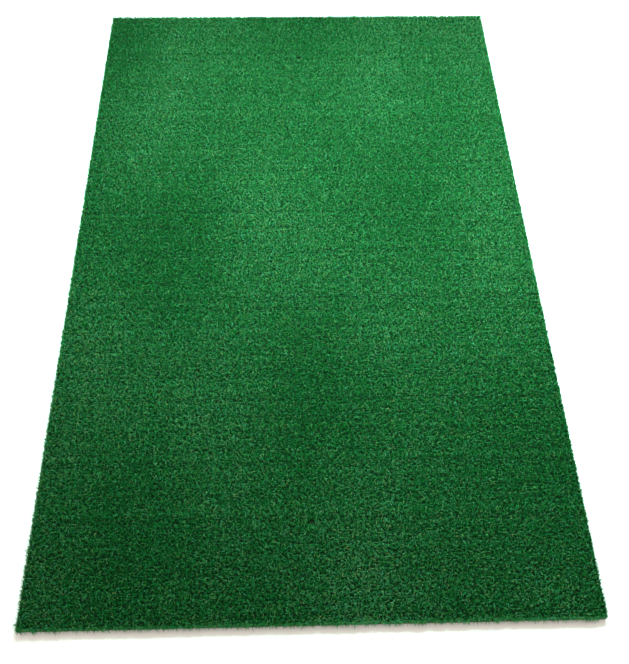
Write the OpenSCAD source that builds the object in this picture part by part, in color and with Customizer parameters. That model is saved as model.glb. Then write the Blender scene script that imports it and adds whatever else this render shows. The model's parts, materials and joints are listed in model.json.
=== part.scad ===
// Golf hitting mat: tufted artificial turf bonded to a closed-cell foam pad, cut square
// through all its layers, with a punched hole for a rubber tee near each end.
// The origin is the middle of the underside. +Y runs along the mat and +Z is up.

/* [Mat] */
// Width from side to side
mat_width = 914.4; // [600:0.1:1500]
// Length from end to end
mat_length = 1524; // [900:0.1:3000]

/* [Layers, from the floor up] */
// Thickness of the closed-cell foam pad
pad_thickness = 5; // [2:0.5:20]
// Thickness of the latex coat that locks the tufts and bonds the pad
latex_thickness = 1.4; // [0.5:0.1:3]
// Thickness of the woven primary backing that the yarn is tufted through
backing_thickness = 0.6; // [0.3:0.1:1.5]
// Height of the cut pile above the primary backing
pile_height = 8; // [4:0.5:20]

/* [Tee holes] */
// Diameter of the punched holes
tee_hole_diameter = 12.7; // [8:0.1:25]
// Distance from each end of the mat to the middle of its tee hole
tee_hole_inset = 163; // [50:1:400]

/* [Hidden] */

latex_base = pad_thickness;
backing_base = latex_base + latex_thickness;
pile_base = backing_base + backing_thickness;
tee_hole_y = mat_length / 2 - tee_hole_inset;
punch_run_out = 1; // how far the punch passes beyond each face of a layer
bore_facets = 96;

// One layer of the laminate: the full sheet from base upwards, with both tee holes punched through.
module layer(base, thickness) {
    translate([0, 0, base])
        difference() {
            translate([-mat_width / 2, -mat_length / 2, 0])
                cube([mat_width, mat_length, thickness]);
            for (side = [-1, 1])
                translate([0, side * tee_hole_y, -punch_run_out])
                    cylinder(d = tee_hole_diameter, h = thickness + 2 * punch_run_out, $fn = bore_facets);
        }
}

// Closed-cell foam that cushions the stroke and grips the floor.
module foam_pad() {
    color("dimgray") layer(0, pad_thickness);
}

// Cured latex that holds the back stitches of the yarn and bonds the turf to the pad.
module latex_coat() {
    color("darkslategray") layer(latex_base, latex_thickness);
}

// Flat woven tape cloth that carries the tufts.
module primary_backing() {
    color("black") layer(backing_base, backing_thickness);
}

// The standing face yarn, as the closed block of space that its cut tufts fill.
module turf_pile() {
    color("forestgreen") layer(pile_base, pile_height);
}

foam_pad();
latex_coat();
primary_backing();
turf_pile();
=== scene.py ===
"""Golf hitting mat: short curly turf on a foam pad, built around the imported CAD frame.

Everything is in metres, in the frame's axes: +Y along the mat, +Z up out of the pile.
The pile is real fibre geometry, tufted in rows across the mat as the machine does it.
"""

import json
import math

import bpy
import numpy as np
from mathutils import Matrix, Vector


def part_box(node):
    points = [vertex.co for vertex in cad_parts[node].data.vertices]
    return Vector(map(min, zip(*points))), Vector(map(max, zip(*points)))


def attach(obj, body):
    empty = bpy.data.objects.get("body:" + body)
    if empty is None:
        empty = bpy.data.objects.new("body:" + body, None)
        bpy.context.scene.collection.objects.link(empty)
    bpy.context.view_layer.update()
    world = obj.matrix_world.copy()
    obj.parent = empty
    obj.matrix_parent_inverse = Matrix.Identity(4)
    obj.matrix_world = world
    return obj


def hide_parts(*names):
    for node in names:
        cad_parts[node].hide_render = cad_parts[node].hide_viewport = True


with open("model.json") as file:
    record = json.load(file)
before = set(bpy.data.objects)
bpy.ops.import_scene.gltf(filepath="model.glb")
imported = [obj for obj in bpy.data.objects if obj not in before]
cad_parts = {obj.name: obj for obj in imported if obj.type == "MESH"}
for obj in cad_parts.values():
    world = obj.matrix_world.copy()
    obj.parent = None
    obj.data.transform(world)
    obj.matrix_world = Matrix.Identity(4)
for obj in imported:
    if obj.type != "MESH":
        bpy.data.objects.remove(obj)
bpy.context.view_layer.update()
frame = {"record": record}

# ---------------------------------------------------------------- sizes

MM = 0.001

# Each part draws from its own random stream, so that a change to one leaves the others as they were.
SEED = 20
STREAMS = {
    "foam": 1,
    "latex": 2,
    "backing": 3,
    "row_lean": 4,
    "band": 10,
    "fringe": 400,
    "hole_rim": 500,
    "roots": 600,
    "threads": 700,
}

PAD_LOW, PAD_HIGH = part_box("foam_pad")
LATEX_LOW, LATEX_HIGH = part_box("latex_coat")
BACKING_LOW, BACKING_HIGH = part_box("primary_backing")
PILE_LOW, PILE_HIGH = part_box("turf_pile")
WIDTH = PILE_HIGH.x - PILE_LOW.x
LENGTH = PILE_HIGH.y - PILE_LOW.y
PILE_HEIGHT = PILE_HIGH.z - PILE_LOW.z

TEE_HOLES = {
    m["name"]: (Vector(m["pos_m"]).xy, m["dims"]["r_mm"] * MM)
    for m in frame["record"]["mounts"]
    if m["kind"] == "bore"
}

# Tufting: rows run across the mat, and each stitch leaves one tuft.
ROWS = 320
STITCHES = 286
ROWS_PER_BAND = 16
CURLED_PER_TUFT = 2
SHORT_PER_TUFT = 1
ROW_PITCH = LENGTH / ROWS
STITCH_PITCH = WIDTH / STITCHES

STAGGER = 0.25  # how far each row's stitches are moved along it, one way and then the other, in stitches
ROOT_SCATTER = 0.5 * MM  # of a fibre's root about its tuft
EDGE_MARGIN = 0.5 * MM  # from a cut edge to the nearest root in a row
HOLE_MARGIN = 0.6 * MM  # from a tee hole's rim to the nearest root in a row
COMBED_MARGIN = 7 * MM  # how far from a tee hole's rim the fibres are turned
ROW_LEAN = 1.2 * MM

FIBRE_WIDTH = 1.15 * MM
SPINE_SHARE = 0.35  # height of a fibre's ridge, as a share of its width
FIBRE_TWIST = 0.6  # radians
SHADE_SPREAD = 0.002  # how far a fibre's edges stand from its own shade
SHADE_VARIATION = 0.17  # from fibre to fibre
SHADE_DRIFT = 0.06  # from place to place on the mat
DRIFT_LENGTH = 0.7  # of the drift's longest waves

RIM_FIBRES = 220
THREAD_PITCH = 2.1 * MM
THREAD_WIDTH = 1.3 * MM


def stream(part, item=0):
    return np.random.default_rng([SEED, STREAMS[part] + item])


def cut_edges():
    """The mat's four cut edges: where each starts and ends, and the heading out over it."""
    left, near, right, far = PILE_LOW.x, PILE_LOW.y, PILE_HIGH.x, PILE_HIGH.y
    return {
        "near": ((left, near), (right, near), -math.pi / 2),
        "far": ((left, far), (right, far), math.pi / 2),
        "left": ((left, near), (left, far), math.pi),
        "right": ((right, near), (right, far), 0.0),
    }


# ---------------------------------------------------------------- meshes

def make_piece(name, points, faces, material, node, uv=None):
    """A smooth-shaded piece of the mat, from points and from faces with equal numbers of sides."""
    corners = np.asarray(faces, np.int32)
    mesh = bpy.data.meshes.new(name)
    mesh.vertices.add(len(points))
    mesh.vertices.foreach_set("co", np.asarray(points, np.float32).ravel())
    mesh.loops.add(corners.size)
    mesh.loops.foreach_set("vertex_index", corners.ravel())
    mesh.polygons.add(len(corners))
    starts = np.arange(0, corners.size, corners.shape[1], dtype=np.int32)
    mesh.polygons.foreach_set("loop_start", starts)
    mesh.update(calc_edges=True)
    if uv is not None:
        layer = mesh.uv_layers.new(name="OFBake")
        layer.uv.foreach_set("vector", np.asarray(uv, np.float32)[corners.ravel()].ravel())
    mesh.shade_smooth()
    mesh.materials.append(material)
    piece = bpy.data.objects.new(name, mesh)
    bpy.context.scene.collection.objects.link(piece)
    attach(piece, "root")
    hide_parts(node)
    return piece


def unit(vectors):
    """The vectors, each scaled to a length of one."""
    return vectors / np.maximum(np.linalg.norm(vectors, axis=-1, keepdims=True), 1e-12)


def waves(x, y, longest, count=9):
    """A smooth field over the mat, mostly between -1 and 1, that is the same in every call."""
    rng = np.random.default_rng(SEED)
    total = np.zeros_like(x)
    for _ in range(count):
        length = longest * rng.uniform(0.3, 1.0)
        angle, phase = rng.uniform(0, math.tau, 2)
        total += np.sin(math.tau * (x * math.cos(angle) + y * math.sin(angle)) / length + phase)
    return total / math.sqrt(count)


# ---------------------------------------------------------------- layers

def graded_lines(low, high, focus, step, fine_step):
    """Grid lines from low to high, step apart, and fine_step apart around each place in focus."""
    reach = 8 * fine_step
    stops = [low, *(f + side * reach for f in focus for side in (-1, 1)), high]
    lines = [np.array([low])]
    for k, (start, end) in enumerate(zip(stops[:-1], stops[1:])):
        count = max(1, round((end - start) / (fine_step if k % 2 else step)))
        lines.append(np.linspace(start, end, count + 1)[1:])
    return np.concatenate(lines)


def holed_grid(x_lines, y_lines, clear, wider=0.0, rings=3):
    """A flat grid of quads with each tee hole let in as rings: points, quads, outer loop, hole loops.

    clear is half the width of the square that the rings fill, and wider is how much larger than its bore
    each hole is cut.
    """
    columns, rows = len(x_lines), len(y_lines)
    index = np.arange(rows * columns).reshape(rows, columns)
    points = np.stack(np.meshgrid(x_lines, y_lines), -1).reshape(-1, 2)
    cell = np.ones((rows - 1, columns - 1), bool)
    quads, holes = [], []
    for centre, radius in TEE_HOLES.values():
        if not y_lines[0] < centre.y < y_lines[-1]:
            continue
        left, right = (int(np.abs(x_lines - centre.x - side * clear).argmin()) for side in (-1, 1))
        near, far = (int(np.abs(y_lines - centre.y - side * clear).argmin()) for side in (-1, 1))
        cell[near:far, left:right] = False
        ring = np.concatenate([
            index[near, left:right],
            index[near:far, right],
            index[far, right:left:-1],
            index[far:near:-1, left],
        ])
        outer = points[ring]
        rim = np.array(centre) + (radius + wider) * unit(outer - np.array(centre))
        for k in range(1, rings + 1):
            inner = len(points) + np.arange(len(ring))
            points = np.concatenate([points, outer + (rim - outer) * k / rings])
            quads.append(np.stack([ring, np.roll(ring, -1), np.roll(inner, -1), inner], 1))
            ring = inner
        holes.append(ring)
    corner = index[:-1, :-1][cell]
    quads.append(np.stack([corner, corner + 1, corner + columns + 1, corner + columns], 1))
    quads = np.concatenate(quads)
    outline = np.concatenate([index[0, :-1], index[:-1, -1], index[-1, :0:-1], index[:0:-1, 0]])
    used, quads = np.unique(quads, return_inverse=True)
    place = np.zeros(len(points), int)
    place[used] = np.arange(len(used))
    return points[used], quads.reshape(-1, 4), place[outline], [place[hole] for hole in holes]


def slab(grid, low, high, ragged, rng):
    """A closed slab over a holed grid. low and high are heights at its points.

    ragged is how far its cut walls bulge and wander.
    """
    points, quads, outline, holes = grid
    count = len(points)
    top = np.column_stack([points, high])
    bottom = np.column_stack([points, low])
    all_points, all_faces = [top, bottom], [quads, quads[:, ::-1] + count]
    made = 2 * count
    for loop, outward in [(outline, True), *((hole, False) for hole in holes)]:
        size = len(loop)
        step = unit(np.roll(points[loop], -1, 0) - np.roll(points[loop], 1, 0))
        normal = np.column_stack([step[:, 1], -step[:, 0]]) * (1 if outward else -1)
        waist = (top[loop] + bottom[loop]) / 2
        waist[:, :2] += normal * rng.normal(ragged / 2, ragged / 2, size)[:, None]
        all_points.append(waist)
        middle = made + np.arange(size)
        made += size
        for under, over in ((loop + count, middle), (middle, loop)):
            wall = np.stack([under, np.roll(under, -1), np.roll(over, -1), over], 1)
            all_faces.append(wall if outward else wall[:, ::-1])
    return np.concatenate(all_points), np.concatenate(all_faces)


def layer_grid(step, fine_step=2.0 * MM):
    """A grid over the whole mat, step apart, and finer around the tee holes."""
    centres = [centre for centre, _ in TEE_HOLES.values()]
    x_lines = graded_lines(PILE_LOW.x, PILE_HIGH.x, sorted({c.x for c in centres}), step, fine_step)
    y_lines = graded_lines(PILE_LOW.y, PILE_HIGH.y, sorted(c.y for c in centres), step, fine_step)
    return holed_grid(x_lines, y_lines, 6 * fine_step)


def flat_layer(step, low, high, ragged, rng):
    """A slab with flat faces over the whole mat."""
    grid = layer_grid(step)
    count = len(grid[0])
    return slab(grid, np.full(count, low), np.full(count, high), ragged, rng)


def foam_pad():
    """The closed-cell pad: a faintly uneven skin underneath and walls as the knife left them."""
    grid = layer_grid(9 * MM)
    x, y = grid[0].T
    dimple = 0.12 * MM * (1 + waves(x, y, 0.12))
    underside = PAD_LOW.z + dimple.clip(0)
    points, faces = slab(grid, underside, np.full(len(x), PAD_HIGH.z), 0.35 * MM, stream("foam"))
    pad = make_piece("foam_pad_cushion", points, faces, foam_material(), "foam_pad")


def latex_coat():
    """The cured coat between the pad and the backing, squeezed out a little along the cuts."""
    points, faces = flat_layer(12 * MM, LATEX_LOW.z, LATEX_HIGH.z, 0.5 * MM, stream("latex"))
    make_piece("latex_bond_coat", points, faces, latex_material(), "latex_coat")


def primary_backing():
    """The woven cloth that carries the tufts, with the cut ends of its own tapes."""
    points, faces = flat_layer(9 * MM, BACKING_LOW.z, BACKING_HIGH.z, 0.3 * MM, stream("backing"))
    material = backing_material()
    cloth = make_piece("primary_backing_cloth", points, faces, material, "primary_backing")
    threads = backing_threads()


# ---------------------------------------------------------------- fibres

# Stations along a fibre: how far out of its tuft, as a share of its reach, and how high, as a share of
# its height.
CURLED = ((0.0, -0.02), (0.16, 0.62), (0.56, 1.0), (1.0, 1.0))
SHORT = ((0.0, -0.02), (0.45, 1.0), (1.0, 1.0))


def fibre_lines(stations, roots, heading, curl, reach, height, tip):
    """The middle lines of fibres that rise out of their tufts and arc over.

    curl is the turn in heading from root to tip, and tip is each end's share of its height.
    """
    out, up = np.array(stations).T
    line = np.zeros((len(roots), len(out), 3))
    line[:, 0, :2] = roots
    for k in range(1, len(out)):
        turned = heading + curl * (out[k] + out[k - 1]) / 2
        step = reach * (out[k] - out[k - 1])
        line[:, k, 0] = line[:, k - 1, 0] + step * np.cos(turned)
        line[:, k, 1] = line[:, k - 1, 1] + step * np.sin(turned)
    line[:, :, 2] = PILE_LOW.z + height[:, None] * up
    line[:, -1, 2] = PILE_LOW.z + height * tip
    return line


def fibre_tapes(line, width, twist, shade):
    """A closed three-sided tape along each line, narrowing to a point at its tip.

    UVs hold the fibre's shade and the place along it.
    """
    count, stations = line.shape[:2]
    rings = stations - 1
    along = unit(np.gradient(line, axis=1))
    side = unit(np.cross(along, [0.0, 0.0, 1.0]))
    ridge = np.cross(side, along)
    turn = twist[:, None, None]
    side, ridge = side * np.cos(turn) + ridge * np.sin(turn), ridge * np.cos(turn) - side * np.sin(turn)
    taper = (1 - 0.2 * np.abs(np.linspace(-1, 1, rings)))[None, :, None] * width[:, None, None]
    spine = line[:, :rings]
    edge = side[:, :rings] * taper / 2
    crest = ridge[:, :rings] * taper * SPINE_SHARE
    tube = np.stack([spine - edge, spine + edge, spine + crest], 2).reshape(count, 3 * rings, 3)
    points = np.concatenate([tube, line[:, rings:]], 1)

    faces = [[0, 1, 2]]
    for base in range(0, 3 * rings - 3, 3):
        for k in range(3):
            a, b = base + k, base + (k + 1) % 3
            faces += [[a, a + 3, b + 3], [a, b + 3, b]]
    last = 3 * rings - 3
    faces += [[last + k, 3 * rings, last + (k + 1) % 3] for k in range(3)]
    size = 3 * rings + 1
    faces = np.array(faces)[None] + size * np.arange(count)[:, None, None]

    across = np.array([-1, 1, 0] * rings + [0])
    place = np.append(np.repeat(np.linspace(0, 1, stations)[:rings], 3), 1.0)
    uv = np.empty((count, size, 2))
    uv[:, :, 0] = shade[:, None] + SHADE_SPREAD * across
    uv[:, :, 1] = 0.02 + 0.96 * place
    return points.reshape(-1, 3), faces.reshape(-1, 3), uv.reshape(-1, 2)


def turf_piece(name, groups, rng, painted_light_offset=0.0):
    """One piece of the pile, from groups of fibre lines.

    A fibre's shade is its own, plus a slow drift over the mat, plus this piece's painted light offset:
    above zero it is painted light that lightens the whole piece, below zero painted shade that darkens it.
    """
    points, faces, uvs, made = [], [], [], 0
    for line in groups:
        count = len(line)
        drift = SHADE_DRIFT * waves(line[:, 0, 0], line[:, 0, 1], DRIFT_LENGTH)
        own = rng.normal(0, SHADE_VARIATION, count)
        shade = np.clip(0.5 + painted_light_offset + drift + own, 0.02, 0.98)
        width = FIBRE_WIDTH * rng.uniform(0.75, 1.15, count)
        twist = rng.normal(0, FIBRE_TWIST, count)
        tape_points, tape_faces, tape_uv = fibre_tapes(line, width, twist, shade)
        points.append(tape_points)
        faces.append(tape_faces + made)
        uvs.append(tape_uv)
        made += len(tape_points)
    points, faces, uvs = (np.concatenate(part) for part in (points, faces, uvs))
    return make_piece(name, points, faces, MATERIAL["fibre"], "turf_pile", uvs)


def clear_of_holes(x, y, margin):
    """Which places are further than margin from every tee hole's rim."""
    keep = np.ones(len(x), bool)
    for centre, radius in TEE_HOLES.values():
        keep &= np.hypot(x - centre.x, y - centre.y) > radius + margin
    return keep


def tuft_places(rows, per_tuft, rng):
    """Roots of fibres in the tufts of these rows, with the row of each."""
    row, stitch = (a.ravel() for a in np.meshgrid(rows, np.arange(STITCHES), indexing="ij"))
    row, stitch = np.repeat(row, per_tuft), np.repeat(stitch, per_tuft)
    stagger = np.where(row % 2, STAGGER, -STAGGER)
    x = PILE_LOW.x + (stitch + 0.5 + stagger) * STITCH_PITCH + rng.normal(0, ROOT_SCATTER, len(row))
    y = PILE_LOW.y + (row + 0.5) * ROW_PITCH + rng.normal(0, ROOT_SCATTER, len(row))
    x = x.clip(PILE_LOW.x + EDGE_MARGIN, PILE_HIGH.x - EDGE_MARGIN)
    y = y.clip(PILE_LOW.y + EDGE_MARGIN, PILE_HIGH.y - EDGE_MARGIN)
    keep = clear_of_holes(x, y, HOLE_MARGIN)
    return np.column_stack([x, y])[keep], row[keep]


def combed(roots, heading, curl, rng):
    """Headings, with those near a tee hole turned up the mat, so the far half of the hole stays open."""
    near_hole = ~clear_of_holes(roots[:, 0], roots[:, 1], COMBED_MARGIN)
    dragged = math.pi / 2 - curl / 2 + rng.normal(0, 0.5, len(roots))
    return np.where(near_hole, dragged, heading)


def pile_band(name, first_row, row_lean):
    """The fibres of a band of rows: curled ones on top and a short one in each tuft below them."""
    rng = stream("band", first_row)
    rows = np.arange(first_row, first_row + ROWS_PER_BAND)
    groups = []
    # Curl is in radians, reach in millimetres and height as a share of the pile's.
    for stations, per_tuft, curl, reach, height in (
        (CURLED, CURLED_PER_TUFT, (1.2, 3.4), (4.5, 8.5), (0.78, 1.03)),
        (SHORT, SHORT_PER_TUFT, (0.4, 1.6), (3.0, 6.0), (0.45, 0.85)),
    ):
        roots, row = tuft_places(rows, per_tuft, rng)
        count = len(roots)
        turn = rng.choice([-1, 1], count) * rng.uniform(*curl, count)
        line = fibre_lines(
            stations,
            roots,
            combed(roots, rng.uniform(0, math.tau, count), turn, rng),
            turn,
            rng.uniform(*reach, count) * MM,
            PILE_HEIGHT * rng.uniform(*height, count),
            rng.uniform(0.72, 1.03, count),
        )
        share_of_lean = np.linspace(0, 1, len(stations))
        line[:, :, 1] += row_lean[row][:, None] * share_of_lean
        groups.append(line)
    turf_piece(name, groups, rng)


def pile_rows():
    """All the bands. Rows lean apart or together, which shows as faint lines across the mat."""
    lean = stream("row_lean").normal(0, ROW_LEAN, ROWS + 1)
    row_lean = (lean[1:] + lean[:-1]) / 2
    for band, first_row in enumerate(range(0, ROWS, ROWS_PER_BAND), 1):
        pile_band(f"pile_rows_{band:02d}", first_row, row_lean)


def fringe(name, edge, per_tuft, reach, droop, rng):
    """Tufts along one cut edge, splayed out over it.

    reach is their range in millimetres, and droop is how far below the pile floor the lowest tips hang.
    """
    start, end, outward = edge
    start, end = np.array(start), np.array(end)
    tufts = round(np.linalg.norm(end - start) / STITCH_PITCH)
    tuft = np.repeat(np.arange(tufts), per_tuft)
    count = len(tuft)
    along = ((tuft + rng.normal(0.5, 0.25, count)) / tufts).clip(0, 1)
    inward = rng.uniform(0.1, 2.2, count) * MM
    out = [math.cos(outward), math.sin(outward)]
    roots = start + (end - start) * along[:, None] - inward[:, None] * out
    length = reach[0] + (reach[1] - reach[0]) * rng.beta(1.2, 3.0, count)
    length *= 1 + 0.2 * waves(roots[:, 0], roots[:, 1], 0.02)
    line = fibre_lines(
        CURLED,
        roots,
        outward + rng.normal(0, 0.7, tufts)[tuft] + rng.normal(0, 0.5, count),
        rng.normal(0, 1.4, count),
        length * rng.uniform(0.65, 1.15, tufts)[tuft] * MM,
        PILE_HEIGHT * rng.uniform(0.35, 1.0, count),
        rng.uniform(-droop / PILE_HEIGHT, 0.5, count),
    )
    # Painted light: the fringe's fibres are painted a little lighter than the pile, for the light that the
    # overhanging cut edge catches.
    turf_piece(name, [line], rng, 0.05)


def pile_edges():
    """The fringe that overhangs the pad on all four sides, thickest at the near edge."""
    looks = {
        "near": {"per_tuft": 13, "reach": (5.5, 11.5), "droop": 6.5 * MM},
        "far": {"per_tuft": 8, "reach": (1.5, 6.5), "droop": 2 * MM},
        "left": {"per_tuft": 8, "reach": (1.5, 10.5), "droop": 2 * MM},
        "right": {"per_tuft": 8, "reach": (1.5, 6.5), "droop": 2 * MM},
    }
    for key, (side, edge) in enumerate(cut_edges().items()):
        fringe(f"pile_edge_{side}", edge, rng=stream("fringe", key), **looks[side])


def pile_hole_rims():
    """Fibres crushed low over the near half of each punched tee hole. Its far half stays open and dark. The
    crushed fibres are painted much darker than the pile, as painted shade for the hole they lie over.
    """
    for key, (name, (centre, radius)) in enumerate(TEE_HOLES.items()):
        rng = stream("hole_rim", key)
        count = RIM_FIBRES
        angle = rng.normal(-math.pi / 2, 0.9, count)
        from_centre = radius + rng.uniform(0.1, 2.2, count) * MM
        x = centre.x + from_centre * np.cos(angle)
        y = centre.y + from_centre * np.sin(angle)
        line = fibre_lines(
            CURLED,
            np.column_stack([x, y]),
            math.pi / 2 + rng.normal(0, 0.3, count),
            rng.normal(0, 0.5, count),
            rng.uniform(7.6, 11.8, count) * MM,
            PILE_HEIGHT * rng.uniform(0.05, 0.3, count),
            rng.uniform(0.3, 1.0, count),
        )
        # Painted shade: these fibres are darkened to stand in for the shade of the hole beneath them.
        turf_piece(f"pile_rim_{name}", [line], rng, -0.35)


def pile_roots():
    """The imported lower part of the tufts, as a ridge of yarn along each row, in two halves of the mat."""
    for key, (name, low) in enumerate((("near", PILE_LOW.y), ("far", 0.0))):
        rng = stream("roots", key)
        x_lines = graded_lines(PILE_LOW.x, PILE_HIGH.x, [0.0], 2 * STITCH_PITCH, STITCH_PITCH)
        y_lines = np.arange(ROWS + 1) * ROW_PITCH / 2 + low
        grid = holed_grid(x_lines, y_lines, 3.5 * STITCH_PITCH, wider=2 * MM)
        x, y = grid[0].T
        ridge = 0.5 - 0.5 * np.cos(math.tau * (y - PILE_LOW.y) / ROW_PITCH)
        top = PILE_LOW.z + PILE_HEIGHT * (0.2 + 0.22 * ridge + rng.normal(0, 0.05, len(x)))
        points, faces = slab(grid, np.full(len(x), PILE_LOW.z), top, 0.4 * MM, rng)
        make_piece(f"pile_roots_{name}", points, faces, MATERIAL["roots"], "turf_pile")


def backing_threads():
    """Cut ends of the cloth's tapes, standing out of its edges."""
    rng = stream("threads")
    middle = (BACKING_LOW.z + BACKING_HIGH.z) / 2
    lines = []
    for start, end, outward in cut_edges().values():
        start, end = np.array(start), np.array(end)
        count = round(np.linalg.norm(end - start) / THREAD_PITCH)
        roots = start + (end - start) * ((np.arange(count) + 0.5) / count)[:, None]
        roots = roots - 0.6 * MM * np.array([math.cos(outward), math.sin(outward)])
        line = fibre_lines(
            SHORT,
            roots,
            outward + rng.normal(0, 0.12, count),
            rng.normal(0, 0.4, count),
            rng.uniform(0.9, 2.0, count) * MM,
            np.zeros(count),
            0.0,
        )
        line[:, :, 2] = middle + rng.uniform(-0.25, 0.15, (count, len(SHORT))) * MM
        lines.append(line)
    line = np.concatenate(lines)
    count = len(line)
    twist = rng.normal(0, 0.2, count)
    shade = rng.uniform(0, 1, count)
    points, faces, uv = fibre_tapes(line, np.full(count, THREAD_WIDTH), twist, shade)
    material = thread_material()
    return make_piece("backing_cut_threads", points, faces, material, "primary_backing", uv)


# ---------------------------------------------------------------- materials

class Nodes:
    """A short way to write a material's node tree."""

    def __init__(self, name):
        self.material = bpy.data.materials.new(name)
        self.material.use_nodes = True
        self.tree = self.material.node_tree
        self.shader = self.tree.nodes["Principled BSDF"]

    def add(self, kind, **inputs):
        """A node of this kind. Each input is a value, or another node's output to link."""
        node = self.tree.nodes.new("ShaderNode" + kind)
        for key, value in inputs.items():
            self.put(node, key.replace("_", " "), value)
        return node

    def put(self, node, socket, value):
        """Set an input to a value, or link another node's output to it."""
        socket = node.inputs[socket]
        if isinstance(value, bpy.types.NodeSocket):
            self.tree.links.new(value, socket)
        else:
            socket.default_value = value

    def surface(self, **inputs):
        """Inputs of the material's own shader."""
        for key, value in inputs.items():
            self.put(self.shader, key.replace("_", " "), value)

    def ramp(self, factor, stops):
        """A colour that runs through the stops, each a place from 0 to 1 and its colour."""
        node = self.add("ValToRGB", Fac=factor)
        elements = node.color_ramp.elements
        for _ in range(len(stops) - 2):
            elements.new(0.5)
        for element, (place, _) in zip(elements, stops):
            element.position = place
        for element, (_, colour) in zip(elements, stops):
            element.color = (*colour, 1)
        return node.outputs["Color"]

    def spread(self, value, low, high):
        """value, from 0 to 1, stretched to run from low to high."""
        return self.add("MapRange", Value=value, To_Min=low, To_Max=high).outputs["Result"]

    def tinted(self, colour, tint):
        """The two colours multiplied."""
        node = self.tree.nodes.new("ShaderNodeVectorMath")
        node.operation = "MULTIPLY"
        self.tree.links.new(colour, node.inputs[0])
        self.tree.links.new(tint, node.inputs[1])
        return node.outputs["Vector"]


def fibre_material():
    """Curly yarn: each fibre has its own shade, tint and gloss. Painted shade darkens each fibre towards
    its root, and its tip is painted a little lighter, as light falls on the top of the pile.
    """
    m = Nodes("turf_fibre")
    place = m.add("UVMap")
    place.uv_map = "OFBake"
    split = m.add("SeparateXYZ", Vector=place.outputs["UV"])
    shade, along = split.outputs["X"], split.outputs["Y"]
    own = m.add("TexNoise", Scale=150.0, Detail=0.0)
    own.noise_dimensions = "1D"
    m.put(own, "W", shade)
    # The ramp is each fibre's own tone, except that its palest stop is whitened: a painted highlight
    # standing in for glints on the brightest fibres.
    colour = m.ramp(shade, [
        (0.0, (0.0005, 0.028, 0.004)),
        (0.5, (0.003, 0.2, 0.031)),
        (1.0, (0.165, 0.49, 0.225)),
    ])
    tint = m.ramp(own.outputs["Fac"], [
        (0.3, (2.2, 0.97, 0.75)),
        (0.5, (1.0, 1.0, 1.0)),
        (0.7, (0.45, 1.02, 1.35)),
    ])
    # Painted shade: a fibre is darkened towards its root, where the pile around it shades it, and painted
    # lighter than its own colour near the tip, where light falls on the top of the pile.
    painted_root_shade = m.ramp(along, [(0.0, (0.1, 0.1, 0.1)), (0.35, (0.5, 0.5, 0.5)), (1.0, (1.2, 1.2, 1.2))])
    rough = m.spread(own.outputs["Fac"], 0.0, 0.65)
    m.surface(Base_Color=m.tinted(m.tinted(colour, tint), painted_root_shade), Roughness=rough, Specular_IOR_Level=0.09)
    return m.material


def roots_material():
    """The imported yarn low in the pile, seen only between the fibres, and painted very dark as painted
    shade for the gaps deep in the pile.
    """
    m = Nodes("turf_roots_painted_shade")
    place = m.add("TexCoord").outputs["Object"]
    strands = m.add("TexNoise", Vector=place, Scale=900.0, Detail=3.0)
    # Painted shade: the same green yarn as the fibres, made near black where the pile shades it.
    colour = m.ramp(strands.outputs["Fac"], [(0.35, (0.0003, 0.007, 0.0015)), (0.7, (0.001, 0.025, 0.005))])
    bump = m.add("Bump", Height=strands.outputs["Fac"], Strength=0.8, Distance=0.0006)
    m.surface(Base_Color=colour, Roughness=0.8, Specular_IOR_Level=0.1, Normal=bump.outputs["Normal"])
    return m.material


def foam_material():
    """Matte foam with fine cells and a faint cloudiness."""
    m = Nodes("closed_cell_foam")
    place = m.add("TexCoord").outputs["Object"]
    cells = m.add("TexVoronoi", Vector=place, Scale=1100.0)
    cloud = m.add("TexNoise", Vector=place, Scale=14.0, Detail=4.0)
    colour = m.ramp(cloud.outputs["Fac"], [(0.3, (0.022, 0.023, 0.024)), (0.7, (0.04, 0.041, 0.042))])
    bump = m.add("Bump", Height=cells.outputs["Distance"], Strength=0.5, Distance=0.0003)
    rough = m.spread(cells.outputs["Distance"], 0.7, 0.95)
    m.surface(Base_Color=colour, Roughness=rough, Specular_IOR_Level=0.3, Normal=bump.outputs["Normal"])
    return m.material


def latex_material():
    """Dark, mottled rubber."""
    m = Nodes("cured_latex")
    place = m.add("TexCoord").outputs["Object"]
    mottle = m.add("TexNoise", Vector=place, Scale=220.0, Detail=5.0)
    colour = m.ramp(mottle.outputs["Fac"], [(0.3, (0.018, 0.021, 0.018)), (0.7, (0.05, 0.055, 0.048))])
    bump = m.add("Bump", Height=mottle.outputs["Fac"], Strength=0.6, Distance=0.0004)
    m.surface(Base_Color=colour, Roughness=0.6, Specular_IOR_Level=0.4, Normal=bump.outputs["Normal"])
    return m.material


def backing_material():
    """A fine checker, for flat tapes woven over and under."""
    m = Nodes("woven_backing")
    place = m.add("TexCoord").outputs["Object"]
    weave = m.add("TexChecker", Vector=place, Scale=480.0)
    colour = m.ramp(weave.outputs["Fac"], [(0.0, (0.008, 0.012, 0.009)), (1.0, (0.02, 0.028, 0.021))])
    bump = m.add("Bump", Height=weave.outputs["Fac"], Strength=0.5, Distance=0.0003)
    m.surface(Base_Color=colour, Roughness=0.5, Specular_IOR_Level=0.4, Normal=bump.outputs["Normal"])
    return m.material


def thread_material():
    """Tape ends, each with its own shade."""
    m = Nodes("backing_thread")
    place = m.add("UVMap")
    place.uv_map = "OFBake"
    split = m.add("SeparateXYZ", Vector=place.outputs["UV"])
    colour = m.ramp(split.outputs["X"], [(0.0, (0.008, 0.012, 0.009)), (1.0, (0.03, 0.045, 0.03))])
    m.surface(Base_Color=colour, Roughness=0.5, Specular_IOR_Level=0.4)
    return m.material


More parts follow.
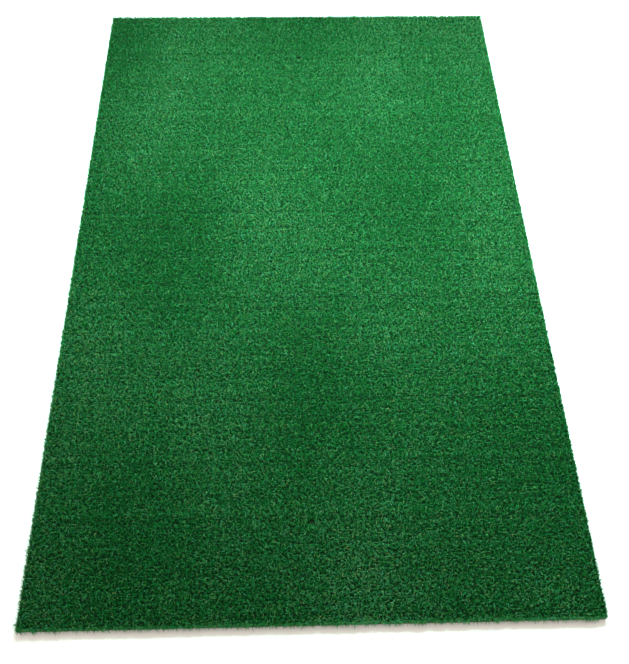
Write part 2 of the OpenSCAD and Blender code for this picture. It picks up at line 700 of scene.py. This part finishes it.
def floor_material():
    """A plain pale floor."""
    m = Nodes("studio_floor")
    place = m.add("TexCoord").outputs["Object"]
    cloud = m.add("TexNoise", Vector=place, Scale=1.5, Detail=3.0)
    colour = m.ramp(cloud.outputs["Fac"], [(0.3, (0.885, 0.885, 0.865)), (0.7, (0.91, 0.91, 0.89))])
    m.surface(Base_Color=colour, Roughness=0.7, Specular_IOR_Level=0.2)
    return m.material


# ---------------------------------------------------------------- stage

def floor():
    """A square of floor, far wider than the mat."""
    mesh = bpy.data.meshes.new("floor")
    half = 15.0
    corners = [(-half, -half, 0), (half, -half, 0), (half, half, 0), (-half, half, 0)]
    mesh.from_pydata(corners, [], [(0, 1, 2, 3)])
    mesh.materials.append(floor_material())
    made = bpy.data.objects.new("floor", mesh)
    bpy.context.scene.collection.objects.link(made)


def area_light(name, place, aim, size, spread, power, colour):
    """A rectangular light. spread is its beam's angle in degrees, and power is in watts."""
    data = bpy.data.lights.new(name, "AREA")
    data.shape = "RECTANGLE"
    data.size, data.size_y = size
    data.spread = math.radians(spread)
    data.energy = power
    data.color = colour
    light = bpy.data.objects.new(name, data)
    light.location = place
    light.rotation_euler = (Vector(aim) - Vector(place)).to_track_quat("-Z", "Y").to_euler()
    bpy.context.scene.collection.objects.link(light)


def lights():
    """A broad soft window beyond the far end, and an even pale room."""
    area_light(
        "window",
        place=(0.45, 1.5, 2.2),
        aim=(0.31, 0.25, 0),
        size=(1.8, 0.9),
        spread=38,
        power=41,
        colour=(0.5, 1.0, 0.87),
    )
    world = bpy.data.worlds.new("studio")
    world.use_nodes = True
    background = world.node_tree.nodes["Background"]
    background.inputs["Color"].default_value = (1, 0.92, 0.84, 1)
    background.inputs["Strength"].default_value = 1.04
    bpy.context.scene.world = world
    bpy.context.scene.view_settings.view_transform = "Standard"


def camera():
    """Hand-held above the near end, looking down along the mat."""
    place = Vector((-0.0328, -1.2405, 1.4460))
    aim = Vector((0.0159, -0.1993, 0.0))
    roll_degrees = 1.38
    roll = Matrix.Rotation(math.radians(roll_degrees), 3, "Z")
    data = bpy.data.cameras.new("camera")
    data.sensor_width = 36
    data.lens = 50.7
    made = bpy.data.objects.new("camera", data)
    made.location = place
    made.rotation_euler = ((aim - place).to_track_quat("-Z", "Y").to_matrix() @ roll).to_euler()
    bpy.context.scene.collection.objects.link(made)
    bpy.context.scene.camera = made


MATERIAL = {"fibre": fibre_material(), "roots": roots_material()}

camera()
foam_pad()
latex_coat()
primary_backing()
pile_roots()
pile_rows()
pile_edges()
pile_hole_rims()
floor()
lights()
